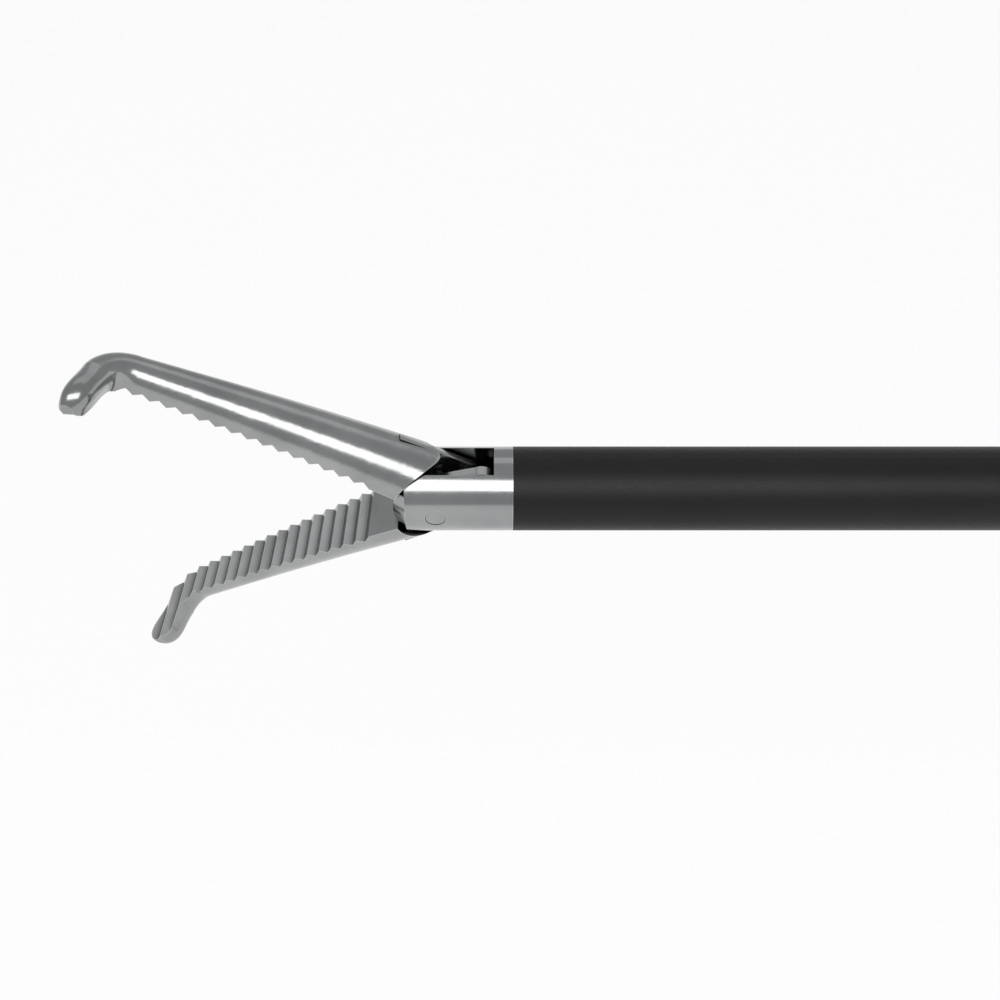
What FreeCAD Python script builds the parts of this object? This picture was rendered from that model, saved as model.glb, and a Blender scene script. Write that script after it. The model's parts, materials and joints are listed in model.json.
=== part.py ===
import FreeCAD, Part
import Sketcher
import math
import os

# Laparoscopic grasper with right-angled jaws on a 5 mm insulated shaft.
# Frame in millimetres: +Z up, the shaft lies along X, the jaws point to -X,
# the ring handle hangs below the axis at +X. The origin is on the shaft axis
# where the insulation sleeve starts, right behind the silver clevis.
# The jaws open in the XZ plane and their tips bend sideways, towards -Y.

Vector = FreeCAD.Vector
doc = FreeCAD.newDocument("laparoscopic_grasper")
sheet = doc.addObject("Spreadsheet::Sheet", "sizes")
next_row = [1]


class Size:
    """A length or angle that knows its number and the expression that gives it."""

    def __init__(self, number, text):
        self.number = number
        self.text = text

    def join(self, other, sign, number):
        text = other.text if isinstance(other, Size) else repr(other)
        return Size(number, "(" + self.text + " " + sign + " " + text + ")")

    def __add__(self, other):
        return self.join(other, "+", self.number + plain(other))

    def __sub__(self, other):
        return self.join(other, "-", self.number - plain(other))

    def __mul__(self, other):
        return self.join(other, "*", self.number * plain(other))

    def __truediv__(self, other):
        return self.join(other, "/", self.number / plain(other))

    def __neg__(self):
        return Size(-self.number, "(0 - " + self.text + ")")

    def __radd__(self, other):
        return Size(float(other), repr(other)) + self

    def __rmul__(self, other):
        return Size(float(other), repr(other)) * self


def plain(value):
    return value.number if isinstance(value, Size) else float(value)


def size(name, value):
    cell = "A" + str(next_row[0])
    next_row[0] += 1
    sheet.set(cell, str(value))
    sheet.setAlias(cell, name)
    return Size(float(value), "sizes." + name)


# Shaft
shaft_diameter = size("shaft_diameter", 5.0)
sleeve_wall = size("sleeve_wall", 0.35)
sleeve_length = size("sleeve_length", 297.9)
tube_wall = size("tube_wall", 0.4)
tube_tail = size("tube_tail", 10.0)
close_gap = size("close_gap", 0.03)
running_gap = size("running_gap", 0.05)
seat_gap = size("seat_gap", 0.1)
free_gap = size("free_gap", 0.3)
chamfer = size("chamfer", 0.4)

# Clevis and pins
pivot_setback = size("pivot_setback", 4.5)
nose_reach = size("nose_reach", 2.5)
nose_bevel_length = size("nose_bevel_length", 0.75)
nose_bevel_depth = size("nose_bevel_depth", 0.8)
ear_spacing = size("ear_spacing", 2.3)
window_setback = size("window_setback", 1.1)
tail_room_length = size("tail_room_length", 0.7)
tail_room_height = size("tail_room_height", 3.6)
spigot_length = size("spigot_length", 8.0)
pivot_pin_diameter = size("pivot_pin_diameter", 1.1)
drive_pin_diameter = size("drive_pin_diameter", 0.8)

# Push rod
rod_diameter = size("rod_diameter", 1.8)
rod_blade_thickness = size("rod_blade_thickness", 0.6)
rod_blade_height = size("rod_blade_height", 1.5)
rod_blade_root = size("rod_blade_root", 1.4)

# Jaws
jaw_rest_angle = size("jaw_rest_angle", 27.0)
jaw_open_angle = size("jaw_open_angle", 30.0)
jaw_base_radius = size("jaw_base_radius", 2.4)
jaw_bend_radius = size("jaw_bend_radius", 1.9)
jaw_bend_angle = size("jaw_bend_angle", 76.0)
jaw_straight_length = size("jaw_straight_length", 17.8)
jaw_bend_width = size("jaw_bend_width", 2.15)
jaw_tip_width = size("jaw_tip_width", 1.6)
jaw_wall_at_base = size("jaw_wall_at_base", 0.05)
jaw_wall_at_bend = size("jaw_wall_at_bend", 0.45)
jaw_wall_at_tip = size("jaw_wall_at_tip", 0.85)
jaw_tip_length = size("jaw_tip_length", 2.7)
jaw_bow = size("jaw_bow", 0.15)
jaw_face_gap = size("jaw_face_gap", 0.06)
tooth_pitch = size("tooth_pitch", 0.9)
tooth_depth = size("tooth_depth", 0.3)
tooth_start = size("tooth_start", 4.2)
tooth_crest = size("tooth_crest", 0.02)
tang_thickness = size("tang_thickness", 0.68)
tang_boss_radius = size("tang_boss_radius", 1.5)
tang_shoulder = size("tang_shoulder", 1.2)
tail_radius = size("tail_radius", 0.8)
slot_near = size("slot_near", 1.5)
slot_far = size("slot_far", 3.0)

# Knob, hub and flush port
knob_diameter = size("knob_diameter", 26.0)
knob_nose_diameter = size("knob_nose_diameter", 13.0)
knob_lip = size("knob_lip", 4.0)
knob_flute_diameter = size("knob_flute_diameter", 8.0)
hub_core_diameter = size("hub_core_diameter", 7.2)
hub_core_length = size("hub_core_length", 20.0)
hub_collar_diameter = size("hub_collar_diameter", 14.0)
hub_collar_length = size("hub_collar_length", 12.0)
hub_journal_diameter = size("hub_journal_diameter", 8.0)
hub_journal_length = size("hub_journal_length", 20.0)
clip_groove_depth = size("clip_groove_depth", 0.5)
clip_thickness = size("clip_thickness", 1.0)
clip_rim = size("clip_rim", 1.6)
bush_wall = size("bush_wall", 2.0)
bush_length = size("bush_length", 14.0)
bush_flange = size("bush_flange", 1.5)
bush_flange_thickness = size("bush_flange_thickness", 1.0)
seal_thickness = size("seal_thickness", 2.4)
seal_diameter = size("seal_diameter", 5.2)
port_diameter = size("port_diameter", 5.0)
port_bore = size("port_bore", 2.2)
port_height = size("port_height", 10.0)
cap_wall = size("cap_wall", 1.2)
cap_height = size("cap_height", 7.0)
set_screw_diameter = size("set_screw_diameter", 3.0)

# Handle
lever_arm = size("lever_arm", 8.0)
lever_setback = size("lever_setback", 18.0)
housing_half_width = size("housing_half_width", 8.5)
housing_front_radius = size("housing_front_radius", 10.0)
housing_rear_radius = size("housing_rear_radius", 14.0)
housing_rear_offset = size("housing_rear_offset", 10.0)
arm_half_width = size("arm_half_width", 4.5)
arm_radius = size("arm_radius", 8.0)
finger_ring_radius = size("finger_ring_radius", 13.0)
finger_ring_back = size("finger_ring_back", 5.76)
finger_ring_drop = size("finger_ring_drop", 23.28)
ring_band = size("ring_band", 6.0)
thumb_ring_radius = size("thumb_ring_radius", 12.5)
lever_thickness = size("lever_thickness", 6.0)
cavity_half_width = size("cavity_half_width", 3.9)
edge_round = size("edge_round", 1.6)
pivot_screw_diameter = size("pivot_screw_diameter", 3.0)
screw_diameter = size("screw_diameter", 2.4)
screw_head_diameter = size("screw_head_diameter", 4.4)
screw_head_depth = size("screw_head_depth", 1.6)
spool_nut_size = size("spool_nut_size", 2.6)
spool_nut_thickness = size("spool_nut_thickness", 2.0)
boss_wall = size("boss_wall", 2.4)
lever_boss_radius = size("lever_boss_radius", 4.0)
lever_knee_radius = size("lever_knee_radius", 5.0)
lever_knee_across = size("lever_knee_across", 16.0)
lever_knee_drop = size("lever_knee_drop", 30.0)
thumb_across = size("thumb_across", 30.0)
thumb_drop = size("thumb_drop", 54.0)
finger_across = size("finger_across", 26.0)
finger_drop = size("finger_drop", 54.0)
pivot_head_radius = size("pivot_head_radius", 2.8)
pivot_head_depth = size("pivot_head_depth", 2.0)
spool_neck_diameter = size("spool_neck_diameter", 3.0)
spool_flange_diameter = size("spool_flange_diameter", 7.0)
spool_flange_thickness = size("spool_flange_thickness", 1.5)
fork_pad_radius = size("fork_pad_radius", 2.0)
barrel_rear_drop = size("barrel_rear_drop", 2.0)
arm_top_across = size("arm_top_across", 14.0)
arm_top_rise = size("arm_top_rise", 2.0)
arm_foot_inset = size("arm_foot_inset", 4.0)
arm_foot_drop = size("arm_foot_drop", 36.0)
front_screw_drop = size("front_screw_drop", 0.2)
rear_screw_across = size("rear_screw_across", 8.0)
rear_screw_rise = size("rear_screw_rise", 4.0)

# Ratchet
rack_radius = size("rack_radius", 30.0)
rack_width = size("rack_width", 2.2)
rack_thickness = size("rack_thickness", 2.0)
rack_tooth_depth = size("rack_tooth_depth", 1.0)
rack_clicks = size("rack_clicks", 4)
pawl_pin_diameter = size("pawl_pin_diameter", 2.0)
rack_reach_angle = size("rack_reach_angle", 45.0)
rack_root_angle = size("rack_root_angle", 33.0)
rack_pin_diameter = size("rack_pin_diameter", 1.6)
pawl_swing = size("pawl_swing", 8.0)
pawl_station = size("pawl_station", 31.5)
pawl_root_radius = size("pawl_root_radius", 2.0)
pawl_nose_radius = size("pawl_nose_radius", 0.4)
pawl_tab_radius = size("pawl_tab_radius", 1.8)
pawl_run = size("pawl_run", 7.081)
pawl_rise = size("pawl_rise", 1.752)
pawl_tab_run = size("pawl_tab_run", 9.025)
pawl_tab_drop = size("pawl_tab_drop", 2.85)
rack_pin_angle = size("rack_pin_angle", 28.0)
pawl_half_thickness = size("pawl_half_thickness", 0.9)
pawl_room_half_width = size("pawl_room_half_width", 1.9)

# Electrode post
post_diameter = size("post_diameter", 4.0)
post_height = size("post_height", 14.0)
post_base_diameter = size("post_base_diameter", 8.0)
post_base_height = size("post_base_height", 3.0)
post_lead = size("post_lead", 11.0)
post_foot = size("post_foot", 5.0)
post_seat = size("post_seat", 4.5)
contact_leaf_thickness = size("contact_leaf_thickness", 0.4)

shaft_radius = shaft_diameter / 2
sleeve_bore_radius = shaft_radius - sleeve_wall
tube_radius = sleeve_bore_radius - close_gap
tube_bore_radius = tube_radius - tube_wall
rod_radius = rod_diameter / 2
pivot_x = -pivot_setback

# Stations along the shaft, from the sleeve's front end to the lever
hub_start = sleeve_length + seat_gap
collar_start = hub_start + hub_core_length
collar_radius = hub_collar_diameter / 2
journal_start = collar_start + hub_collar_length
hub_end = journal_start + hub_journal_length
tube_length = journal_start + tube_tail
lever_pivot_distance = hub_end + lever_setback
post_setback = lever_pivot_distance - post_lead
port_x = collar_start + hub_collar_length / 2
housing_front = journal_start + running_gap + bush_flange_thickness + close_gap
bush_end = housing_front + bush_length
clip_start = bush_end + seat_gap
clip_end = clip_start + clip_thickness
spool_half = fork_pad_radius + seat_gap
rod_end = lever_pivot_distance + spool_half + spool_flange_thickness * 4
bush_outer = hub_journal_diameter / 2 + running_gap + bush_wall
parts = []


def origin_plane(body, role):
    return [item for item in body.Origin.OriginFeatures if item.Role == role][0]


def new_body(name):
    body = doc.addObject("PartDesign::Body", name)
    body.Label = name
    parts.append(body)
    return body


def bind(item, prop, value):
    if isinstance(value, Size):
        item.setExpression(prop, value.text)
    else:
        setattr(item, prop, value)


def place(item, x=None, y=None, z=None):
    for axis, value in (("x", x), ("y", y), ("z", z)):
        if value is not None:
            item.setExpression("Placement.Base." + axis, value.text)


def outline(body, role, corners):
    """A closed sketch with straight sides whose corners are held by named sizes."""
    sketch = body.newObject("Sketcher::SketchObject", body.Name + "_outline")
    sketch.AttachmentSupport = [(origin_plane(body, role), "")]
    sketch.MapMode = "FlatFace"
    count = len(corners)
    points = [Vector(plain(a), plain(b), 0) for a, b in corners]
    for index in range(count):
        start = points[index]
        end = points[(index + 1) % count]
        sketch.addGeometry(Part.LineSegment(start, end), False)
    for index in range(count):
        sketch.addConstraint(Sketcher.Constraint("Coincident", index, 2, (index + 1) % count, 1))
    for index, (a, b) in enumerate(corners):
        for kind, value in (("DistanceX", a), ("DistanceY", b)):
            held = sketch.addConstraint(Sketcher.Constraint(kind, index, 1, plain(value)))
            if isinstance(value, Size):
                sketch.setExpression("Constraints[" + str(held) + "]", value.text)
    return sketch


def circle_sketch(body, role, radius, across=0.0, up=0.0):
    sketch = body.newObject("Sketcher::SketchObject", body.Name + "_circle")
    sketch.AttachmentSupport = [(origin_plane(body, role), "")]
    sketch.MapMode = "FlatFace"
    centre = Vector(plain(across), plain(up), 0)
    sketch.addGeometry(Part.Circle(centre, Vector(0, 0, 1), plain(radius)), False)
    for kind, value in (("DistanceX", across), ("DistanceY", up)):
        held = sketch.addConstraint(Sketcher.Constraint(kind, 0, 3, plain(value)))
        if isinstance(value, Size):
            sketch.setExpression("Constraints[" + str(held) + "]", value.text)
    held = sketch.addConstraint(Sketcher.Constraint("Radius", 0, plain(radius)))
    if isinstance(radius, Size):
        sketch.setExpression("Constraints[" + str(held) + "]", radius.text)
    return sketch


def revolved(body, sketch):
    turn = body.newObject("PartDesign::Revolution", body.Name + "_turning")
    turn.Profile = sketch
    turn.ReferenceAxis = (sketch, ["H_Axis"])
    turn.Angle = 360.0


def turned(name, profile):
    """A piece turned about the shaft axis from its half profile of (x, radius) corners."""
    body = new_body(name)
    revolved(body, outline(body, "XZ_Plane", profile))
    return body


def stand(body, x, z):
    """Turn a piece that was made along X so that it points up."""
    body.Placement = FreeCAD.Placement(Vector(0, 0, 0), FreeCAD.Rotation(Vector(0, 1, 0), -90))
    place(body, x, None, z)


def padded(body, sketch, length):
    pad = body.newObject("PartDesign::Pad", body.Name + "_pad")
    pad.Profile = sketch
    pad.SideType = "Symmetric"
    bind(pad, "Length", length)
    return pad


def pocketed(body, sketch, length):
    pocket = body.newObject("PartDesign::Pocket", body.Name + "_pocket")
    pocket.Profile = sketch
    pocket.SideType = "Symmetric"
    bind(pocket, "Length", length)
    return pocket


def drilled(body, sketch, length, upward):
    """A hole from the level of the sketch, up or down."""
    pocket = body.newObject("PartDesign::Pocket", body.Name + "_hole")
    pocket.Profile = sketch
    pocket.SideType = "One side"
    pocket.Reversed = upward
    bind(pocket, "Length", length)
    return pocket


def drilled_up(body, sketch, length):
    return drilled(body, sketch, length, True)


def drilled_down(body, sketch, length):
    return drilled(body, sketch, length, False)


def cylinder(name, radius, height, direction, x=None, y=None, z=None):
    """A plain round bar along X, Y or Z that starts at the given place."""
    item = doc.addObject("Part::Cylinder", name)
    bind(item, "Radius", radius)
    bind(item, "Height", height)
    turns = {"X": FreeCAD.Rotation(Vector(0, 1, 0), 90),
             "Y": FreeCAD.Rotation(Vector(1, 0, 0), -90),
             "Z": FreeCAD.Rotation()}
    item.Placement = FreeCAD.Placement(Vector(0, 0, 0), turns[direction])
    place(item, x, y, z)
    return item


def joined(kind, name, base, tool):
    item = doc.addObject(kind, name)
    item.Base = base
    item.Tool = tool
    return item


def keep(item, name):
    item.Label = name
    parts.append(item)
    return item


def shaped(name, shape, spot=None):
    """A piece whose form is worked out by the functions below."""
    item = doc.addObject("Part::Feature", name)
    item.Label = name
    item.Shape = shape
    if spot is not None:
        item.Placement = spot
    parts.append(item)
    return item


def link(start, start_radius, end, end_radius, low, high):
    """A plate between two round ends, seen from the side, from y = low to y = high."""
    start_radius = plain(start_radius)
    end_radius = plain(end_radius)
    run = math.hypot(end[0] - start[0], end[1] - start[1])
    heading = math.atan2(end[1] - start[1], end[0] - start[0])
    lean = math.acos((start_radius - end_radius) / run)

    def rim(centre, radius, angle):
        return Vector(centre[0] + radius * math.cos(angle), low, centre[1] + radius * math.sin(angle))

    first = rim(start, start_radius, heading + lean)
    back = rim(start, start_radius, heading + math.pi)
    second = rim(start, start_radius, heading - lean)
    third = rim(end, end_radius, heading - lean)
    front = rim(end, end_radius, heading)
    fourth = rim(end, end_radius, heading + lean)
    edges = [Part.Arc(first, back, second).toShape(), Part.makeLine(second, third),
             Part.Arc(third, front, fourth).toShape(), Part.makeLine(fourth, first)]
    return Part.Face(Part.Wire(edges)).extrude(Vector(0, high - low, 0))


def disc(centre, radius, low, high):
    return Part.makeCylinder(plain(radius), high - low, Vector(centre[0], low, centre[1]), Vector(0, 1, 0))


def plate(corners, low, high):
    points = [Vector(a, low, b) for a, b in corners]
    return Part.Face(Part.makePolygon(points + points[:1])).extrude(Vector(0, high - low, 0))


def rounded(solid, side, radius):
    """Round the long edges of a plate, where its walls meet the faces at y = side and -side."""
    rims = [edge for edge in solid.Edges if all(abs(abs(v.Y) - side) < 0.001 for v in edge.Vertexes)
            and abs(edge.Vertexes[0].Y - edge.Vertexes[-1].Y) < 0.001]
    return solid.makeFillet(radius, rims)


# The pin's distance from the pivot follows the jaw angle in a straight ratio.
slot_travel = slot_far - slot_near
rest_share = (jaw_open_angle - jaw_rest_angle) / jaw_open_angle
drive_pin_x = pivot_x + slot_near + slot_travel * rest_share


def pin_in_jaw(angle):
    """Where the drive pin's axis lies in the shut jaw's own frame, at an opening angle."""
    reach = plain(slot_far) - plain(slot_travel) * angle / plain(jaw_open_angle)
    turn = math.radians(angle)
    return Vector(reach * math.cos(turn), 0, reach * math.sin(turn))


def cam_slot(low, high):
    """The slanted slot in a jaw's tail that the drive pin runs in."""
    ends = [0.0, plain(jaw_open_angle) / 2, plain(jaw_open_angle)]
    path = Part.Arc(*[pin_in_jaw(angle) for angle in ends]).toShape()
    half = plain(drive_pin_diameter) / 2 + plain(running_gap)
    middle = path.Curve.Radius
    hub = path.Curve.Center
    wide = middle + half
    narrow = middle - half
    step = (path.LastParameter - path.FirstParameter) / 2

    def at(radius, along, extra=0.0):
        parameter = path.FirstParameter + step * along
        spot = path.valueAt(parameter) - hub
        spot.normalize()
        return hub + spot * radius + path.tangentAt(parameter) * extra

    first = at(middle, 0, -half)
    last = at(middle, 2, half)
    edges = [Part.Arc(at(wide, 0), at(wide, 1), at(wide, 2)).toShape(),
             Part.Arc(at(wide, 2), last, at(narrow, 2)).toShape(),
             Part.Arc(at(narrow, 2), at(narrow, 1), at(narrow, 0)).toShape(),
             Part.Arc(at(narrow, 0), first, at(wide, 0)).toShape()]
    slot = Part.Face(Part.Wire(edges)).extrude(Vector(0, high - low, 0))
    slot.translate(Vector(0, low, 0))
    return slot


def half_round(centre, heading, half_width, wall):
    """One section of a jaw, square to its centre line: flat face, straight sides, round back."""
    across = Vector(-math.sin(heading), math.cos(heading), 0) * half_width
    rise = Vector(0, 0, wall)
    left = centre + across
    right = centre - across
    top = centre + rise + Vector(0, 0, half_width)
    return Part.Wire([Part.makeLine(left, right), Part.makeLine(right, right + rise),
                      Part.Arc(right + rise, top, left + rise).toShape(), Part.makeLine(left + rise, left)])


def jaw_blade():
    """The shut upper jaw's arm: tapered, with a round back and its tip bent to -Y."""
    floor = plain(jaw_face_gap) / 2
    straight = plain(jaw_straight_length)
    turn = math.radians(plain(jaw_bend_angle))
    radius = plain(jaw_bend_radius)
    base = plain(jaw_base_radius)
    bend_half = plain(jaw_bend_width) / 2
    tip_half = plain(jaw_tip_width) / 2
    tip_length = plain(jaw_tip_length)
    bow = plain(jaw_bow)
    base_wall = plain(jaw_wall_at_base)
    bend_wall = plain(jaw_wall_at_bend)
    tip_wall = plain(jaw_wall_at_tip)

    arm = []
    for share in (0, 0.25, 0.5, 0.75, 1.0):
        spot = Vector(-straight * share, bow * math.sin(math.pi * share), floor)
        arm.append(half_round(spot, math.pi, base + (bend_half - base) * share,
                              base_wall + (bend_wall - base_wall) * share))
    start = Vector(-straight, 0, floor)
    elbow = []
    for share in (0, 0.25, 0.5, 0.75, 1.0):
        angle = turn * share
        spot = start + Vector(-radius * math.sin(angle), -radius * (1 - math.cos(angle)), 0)
        elbow.append(half_round(spot, math.pi + angle, bend_half + (tip_half - bend_half) * share,
                                bend_wall + (tip_wall - bend_wall) * share))
    way = Vector(-math.cos(turn), -math.sin(turn), 0)
    finger = []
    for share, width in ((0, 1.0), (0.4, 0.96), (0.7, 0.9), (0.9, 0.7), (1.0, 0.42)):
        finger.append(half_round(spot + way * tip_length * share, math.pi + turn, tip_half * width,
                                 tip_wall * width))
    pieces = [Part.makeLoft(sections, True, False) for sections in (arm, elbow, finger)]
    return pieces[0].fuse(pieces[1:])


def tooth_comb(shift):
    """The comb that cuts the V grooves straight across the flat face, in line with the pivot."""
    floor = plain(jaw_face_gap) / 2
    pitch = plain(tooth_pitch)
    crest = floor + plain(tooth_crest)
    valley = crest + plain(tooth_depth)
    reach = plain(jaw_straight_length) + plain(jaw_bend_radius) + plain(jaw_tip_length)
    side = plain(jaw_base_radius) + reach / 2
    count = int((reach - plain(tooth_start)) / pitch)
    first = -plain(tooth_start) - pitch * shift
    corners = [(first, floor - 1), (first, crest)]
    for index in range(count):
        corners.append((first - pitch * (index + 0.5), valley))
        corners.append((first - pitch * (index + 1), crest))
    corners.append((first - pitch * count, floor - 1))
    return plate(corners, -side, side)


def upper_jaw_form(tang_low, shift):
    """A shut jaw in its own frame: pivot at the origin, blade to -X, tail with its slot to +X."""
    floor = plain(jaw_face_gap) / 2
    clear = plain(nose_reach) + plain(seat_gap)
    base = plain(jaw_base_radius)
    boss = plain(tang_boss_radius)
    tail = plain(tail_radius)
    shoulder = plain(tang_shoulder)
    far = plain(slot_far)
    tang_high = tang_low + plain(tang_thickness)
    wide = 2 * base
    knuckle = disc((0, 0), clear, -wide, wide)
    blade = jaw_blade().cut([tooth_comb(shift), knuckle])
    side = plate([(-clear - 0.8, floor), (-boss, floor), (0, -boss), (far, -tail),
                  (far + tail * 0.7, tail * 0.7), (shoulder, base), (-clear - 0.8, base)], tang_low, tang_high)
    tang = side.fuse([disc((0, 0), boss, tang_low, tang_high), disc((far, 0), tail, tang_low, tang_high)])
    tang = tang.common(Part.makeCylinder(base, 2 * wide, Vector(-wide, 0, 0), Vector(1, 0, 0)))
    bore = disc((0, 0), plain(pivot_pin_diameter) / 2 + plain(running_gap), -wide, wide)
    whole = blade.fuse(tang).cut([bore, cam_slot(-wide, wide)])
    return whole.removeSplitter()


def jaws():
    pivot = Vector(plain(pivot_x), 0, 0)
    angle = plain(jaw_rest_angle)
    inner = plain(rod_blade_thickness) / 2 + plain(running_gap)
    upper = upper_jaw_form(inner, 0.0)
    lower = upper_jaw_form(-inner - plain(tang_thickness), 0.5).mirror(Vector(0, 0, 0), Vector(0, 0, 1))
    across = Vector(0, 1, 0)
    shaped("upper_jaw", upper, FreeCAD.Placement(pivot, FreeCAD.Rotation(across, angle)))
    shaped("lower_jaw", lower, FreeCAD.Placement(pivot, FreeCAD.Rotation(across, -angle)))


jaws()


# Places of the handle, each as its (x, z) in the side view
hinge = (plain(lever_pivot_distance), -plain(lever_arm))
barrel_front = (plain(housing_front) + plain(housing_front_radius) * 1.3, 0.0)
barrel_rear = (hinge[0] + plain(housing_rear_offset), -plain(barrel_rear_drop))
arm_top = (hinge[0] - plain(arm_top_across), hinge[1] + plain(arm_top_rise))
arm_foot = (hinge[0] - plain(finger_across) + plain(arm_foot_inset), hinge[1] - plain(arm_foot_drop))
ring_top = (hinge[0] - plain(finger_across), hinge[1] - plain(finger_drop))
ring_foot = (ring_top[0] - plain(finger_ring_back), ring_top[1] - plain(finger_ring_drop))
lever_knee = (hinge[0] + plain(lever_knee_across), hinge[1] - plain(lever_knee_drop))
thumb_centre = (hinge[0] + plain(thumb_across), hinge[1] - plain(thumb_drop))
front_screw = (arm_top[0], hinge[1] - plain(front_screw_drop))
rear_screw = (barrel_rear[0] + plain(rear_screw_across), barrel_rear[1] + plain(rear_screw_rise))
ring_screw = (ring_top[0] - 0.5, ring_top[1] + plain(finger_ring_radius) + plain(ring_band) / 2)
pawl_pin_half = plain(arm_half_width) * 0.8

# How far the lever turns from the rest pose until the jaws are shut, and on to fully open
rod_travel = slot_travel * (jaw_rest_angle / jaw_open_angle)
lever_squeeze = math.degrees(plain(rod_travel) / plain(lever_arm))
lever_overtravel = math.degrees(plain(slot_travel * rest_share) / plain(lever_arm))


def below_hinge(radius, angle):
    """A point at an angle forward of straight down, as seen from the lever's pivot."""
    turn = math.radians(angle)
    return (hinge[0] - radius * math.sin(turn), hinge[1] - radius * math.cos(turn))


rack_pin_spot = below_hinge(plain(rack_radius), -plain(rack_pin_angle))
rack_outer = plain(rack_radius) + plain(rack_width) / 2 + plain(rack_tooth_depth)
pawl_nose = below_hinge(rack_outer + plain(free_gap) + plain(pawl_nose_radius), plain(pawl_station))
pawl_pivot = (pawl_nose[0] - plain(pawl_run), pawl_nose[1] - plain(pawl_rise))
pawl_tab = (pawl_pivot[0] - plain(pawl_tab_run), pawl_pivot[1] - plain(pawl_tab_drop))


def clevis():
    """A turned barrel with a bevelled round nose, split into two ears by the jaw window."""
    nose = pivot_x - nose_reach
    spigot_radius = tube_bore_radius - close_gap
    half = ear_spacing / 2
    blank = doc.addObject("PartDesign::Body", "clevis_blank")
    profile = outline(blank, "XZ_Plane", [
        (nose, 0.0), (nose, shaft_radius - nose_bevel_depth), (nose + nose_bevel_length, shaft_radius),
        (0.0, shaft_radius), (0.0, spigot_radius), (spigot_length, spigot_radius), (spigot_length, 0.0)])
    revolved(blank, profile)
    window = outline(blank, "XY_Plane", [
        (nose * 2, -half), (-window_setback, -half), (-window_setback, half), (nose * 2, half)])
    pocketed(blank, window, shaft_diameter * 2)
    overlap = window_setback * 2
    room = outline(blank, "XY_Plane", [
        (-overlap, -half), (tail_room_length - window_setback, -half),
        (tail_room_length - window_setback, half), (-overlap, half)])
    pocketed(blank, room, tail_room_height)
    pocketed(blank, circle_sketch(blank, "YZ_Plane", rod_radius + seat_gap), spigot_length * 4)
    hole = pivot_pin_diameter / 2 + close_gap
    pocketed(blank, circle_sketch(blank, "XZ_Plane", hole, pivot_x, 0.0), shaft_diameter * 2)

    round_nose = cylinder("clevis_round_nose", nose_reach, shaft_diameter * 2, "Y", pivot_x, -shaft_diameter)
    back = doc.addObject("Part::Box", "clevis_back")
    bind(back, "Length", pivot_setback + spigot_length * 2)
    bind(back, "Width", shaft_diameter * 2)
    bind(back, "Height", shaft_diameter * 2)
    place(back, pivot_x, -shaft_diameter, -shaft_diameter)
    limits = joined("Part::Fuse", "clevis_limits", round_nose, back)
    keep(joined("Part::Common", "clevis", blank, limits), "clevis")


def pins_and_rod():
    """The jaw pivot, the pin that drives both tails, and the rod that carries it."""
    bar = cylinder("pivot_bar", pivot_pin_diameter / 2, shaft_diameter * 2, "Y", pivot_x, -shaft_diameter)
    skin = cylinder("pivot_skin", shaft_radius - close_gap, pivot_setback * 4, "X", pivot_x * 3)
    keep(joined("Part::Common", "jaw_pivot_pin", bar, skin), "jaw_pivot_pin")

    pin_half = ear_spacing / 2 - seat_gap
    keep(cylinder("drive_pin", drive_pin_diameter / 2, pin_half * 2, "Y", drive_pin_x, -pin_half), "drive_pin")

    rod = turned("push_rod", [
        (rod_blade_root, 0.0), (rod_blade_root, rod_radius - chamfer), (rod_blade_root + chamfer, rod_radius),
        (rod_end - chamfer, rod_radius), (rod_end, rod_radius - chamfer), (rod_end, 0.0)])
    half = rod_blade_height / 2
    padded(rod, outline(rod, "XZ_Plane", [
        (drive_pin_x, -half), (rod_blade_root + rod_diameter, -half),
        (rod_blade_root + rod_diameter, half), (drive_pin_x, half)]), rod_blade_thickness)
    padded(rod, circle_sketch(rod, "XZ_Plane", half, drive_pin_x, 0.0), rod_blade_thickness)
    eye = drive_pin_diameter / 2 + close_gap
    pocketed(rod, circle_sketch(rod, "XZ_Plane", eye, drive_pin_x, 0.0), rod_diameter * 2)


def shaft():
    """The steel tube and the black insulation shrunk over it."""
    turned("shaft_tube", [
        (close_gap, tube_bore_radius), (close_gap, tube_radius),
        (tube_length, tube_radius), (tube_length, tube_bore_radius)])
    turned("insulation_sleeve", [
        (0.0, sleeve_bore_radius), (0.0, shaft_radius),
        (sleeve_length, shaft_radius), (sleeve_length, sleeve_bore_radius)])


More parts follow.
